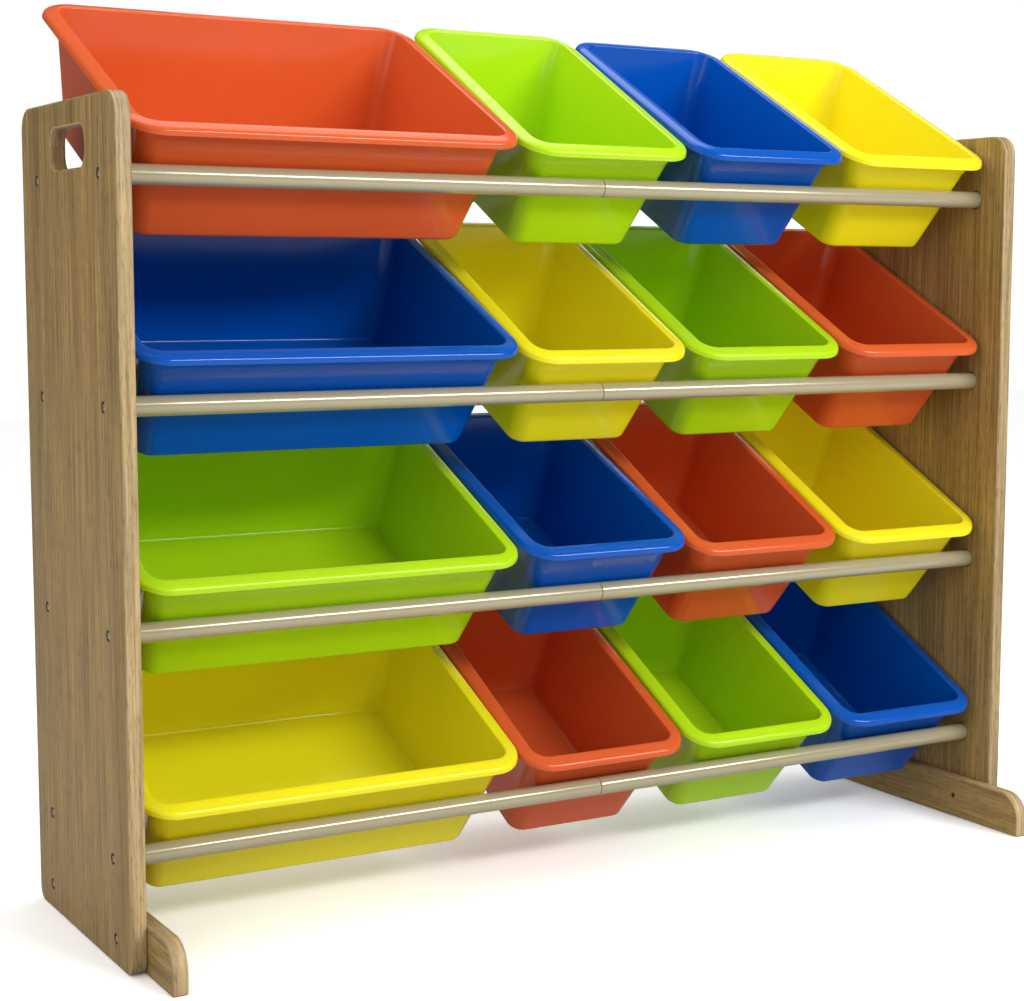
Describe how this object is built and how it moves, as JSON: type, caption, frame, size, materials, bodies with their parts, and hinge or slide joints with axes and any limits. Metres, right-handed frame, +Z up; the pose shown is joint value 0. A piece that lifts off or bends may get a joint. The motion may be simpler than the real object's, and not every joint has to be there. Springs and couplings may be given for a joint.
{
  "type": "toy storage organizer with bins",
  "caption": "Toy storage organizer: wooden side panels with feet and handle slots, joined by rods that carry tilted lift-out plastic bins in rows.",
  "frame": {"origin": "on the floor, midway across the width and midway from the front of the feet to the rearmost bin rim", "axes": "+X to the right seen from the front, +Y to the back, +Z up"},
  "size_m": [1.04, 0.3751, 0.8987],
  "materials": {
    "oak_board": "satin light-oak grain, paler edge band",
    "rod_paint": "glossy champagne paint",
    "fitting_plastic": "plain moulded plastic, out of sight",
    "screw_steel": "zinc-plated steel",
    "bin_orange": "smooth satin-gloss moulded plastic",
    "bin_green": "smooth satin-gloss moulded plastic",
    "bin_blue": "smooth satin-gloss moulded plastic",
    "bin_yellow": "smooth satin-gloss moulded plastic"
  },
  "bodies": {
    "frame": {"left_side_panel": "oak_board", "right_side_panel": "oak_board", "left_foot": "oak_board", "right_foot": "oak_board", "front_rod_row1_left": "rod_paint", "front_rod_row1_right": "rod_paint", "front_rod_row2_left": "rod_paint", "front_rod_row2_right": "rod_paint", "front_rod_row3_left": "rod_paint", "front_rod_row3_right": "rod_paint", "front_rod_row4_left": "rod_paint", "front_rod_row4_right": "rod_paint", "rear_rod_row1_left": "rod_paint", "rear_rod_row1_right": "rod_paint", "rear_rod_row2_left": "rod_paint", "rear_rod_row2_right": "rod_paint", "rear_rod_row3_left": "rod_paint", "rear_rod_row3_right": "rod_paint", "rear_rod_row4_left": "rod_paint", "rear_rod_row4_right": "rod_paint", "rod_joining_pins": "fitting_plastic", "left_rod_end_plugs": "fitting_plastic", "right_rod_end_plugs": "fitting_plastic", "left_rod_screws": "screw_steel", "right_rod_screws": "screw_steel", "left_foot_screws": "screw_steel", "right_foot_screws": "screw_steel"},
    "bin_row1_large_orange": {"bin_row1_large_orange": "bin_orange"},
    "bin_row1_small_left_green": {"bin_row1_small_left_green": "bin_green"},
    "bin_row1_small_middle_blue": {"bin_row1_small_middle_blue": "bin_blue"},
    "bin_row1_small_right_yellow": {"bin_row1_small_right_yellow": "bin_yellow"},
    "bin_row2_large_blue": {"bin_row2_large_blue": "bin_blue"},
    "bin_row2_small_left_yellow": {"bin_row2_small_left_yellow": "bin_yellow"},
    "bin_row2_small_middle_green": {"bin_row2_small_middle_green": "bin_green"},
    "bin_row2_small_right_orange": {"bin_row2_small_right_orange": "bin_orange"},
    "bin_row3_large_green": {"bin_row3_large_green": "bin_green"},
    "bin_row3_small_left_blue": {"bin_row3_small_left_blue": "bin_blue"},
    "bin_row3_small_middle_orange": {"bin_row3_small_middle_orange": "bin_orange"},
    "bin_row3_small_right_yellow": {"bin_row3_small_right_yellow": "bin_yellow"},
    "bin_row4_large_yellow": {"bin_row4_large_yellow": "bin_yellow"},
    "bin_row4_small_left_orange": {"bin_row4_small_left_orange": "bin_orange"},
    "bin_row4_small_middle_green": {"bin_row4_small_middle_green": "bin_green"},
    "bin_row4_small_right_blue": {"bin_row4_small_right_blue": "bin_blue"}
  },
  "joints": [
    {"name": "bin_row1_large_orange_lift", "type": "slide", "parent": "frame", "child": "bin_row1_large_orange", "axis": [0, -0.4478, 0.8942], "range_m": [0, 0.165]},
    {"name": "bin_row1_small_left_green_lift", "type": "slide", "parent": "frame", "child": "bin_row1_small_left_green", "axis": [0, -0.4741, 0.8805], "range_m": [0, 0.165]},
    {"name": "bin_row1_small_middle_blue_lift", "type": "slide", "parent": "frame", "child": "bin_row1_small_middle_blue", "axis": [0, -0.4571, 0.8894], "range_m": [0, 0.165]},
    {"name": "bin_row1_small_right_yellow_lift", "type": "slide", "parent": "frame", "child": "bin_row1_small_right_yellow", "axis": [0, -0.4571, 0.8894], "range_m": [0, 0.165]},
    {"name": "bin_row2_large_blue_lift", "type": "slide", "parent": "frame", "child": "bin_row2_large_blue", "axis": [0, -0.4226, 0.9063], "range_m": [0, 0.035]},
    {"name": "bin_row2_small_left_yellow_lift", "type": "slide", "parent": "frame", "child": "bin_row2_small_left_yellow", "axis": [0, -0.4571, 0.8894], "range_m": [0, 0.035]},
    {"name": "bin_row2_small_middle_green_lift", "type": "slide", "parent": "frame", "child": "bin_row2_small_middle_green", "axis": [0, -0.4571, 0.8894], "range_m": [0, 0.035]},
    {"name": "bin_row2_small_right_orange_lift", "type": "slide", "parent": "frame", "child": "bin_row2_small_right_orange", "axis": [0, -0.4571, 0.8894], "range_m": [0, 0.035]},
    {"name": "bin_row3_large_green_lift", "type": "slide", "parent": "frame", "child": "bin_row3_large_green", "axis": [0, -0.4226, 0.9063], "range_m": [0, 0.035]},
    {"name": "bin_row3_small_left_blue_lift", "type": "slide", "parent": "frame", "child": "bin_row3_small_left_blue", "axis": [0, -0.4035, 0.915], "range_m": [0, 0.035]},
    {"name": "bin_row3_small_middle_orange_lift", "type": "slide", "parent": "frame", "child": "bin_row3_small_middle_orange", "axis": [0, -0.4571, 0.8894], "range_m": [0, 0.035]},
    {"name": "bin_row3_small_right_yellow_lift", "type": "slide", "parent": "frame", "child": "bin_row3_small_right_yellow", "axis": [0, -0.4571, 0.8894], "range_m": [0, 0.035]},
    {"name": "bin_row4_large_yellow_lift", "type": "slide", "parent": "frame", "child": "bin_row4_large_yellow", "axis": [0, -0.4226, 0.9063], "range_m": [0, 0.035]},
    {"name": "bin_row4_small_left_orange_lift", "type": "slide", "parent": "frame", "child": "bin_row4_small_left_orange", "axis": [0, -0.4571, 0.8894], "range_m": [0, 0.035]},
    {"name": "bin_row4_small_middle_green_lift", "type": "slide", "parent": "frame", "child": "bin_row4_small_middle_green", "axis": [0, -0.4571, 0.8894], "range_m": [0, 0.035]},
    {"name": "bin_row4_small_right_blue_lift", "type": "slide", "parent": "frame", "child": "bin_row4_small_right_blue", "axis": [0, -0.4571, 0.8894], "range_m": [0, 0.035]}
  ]
}
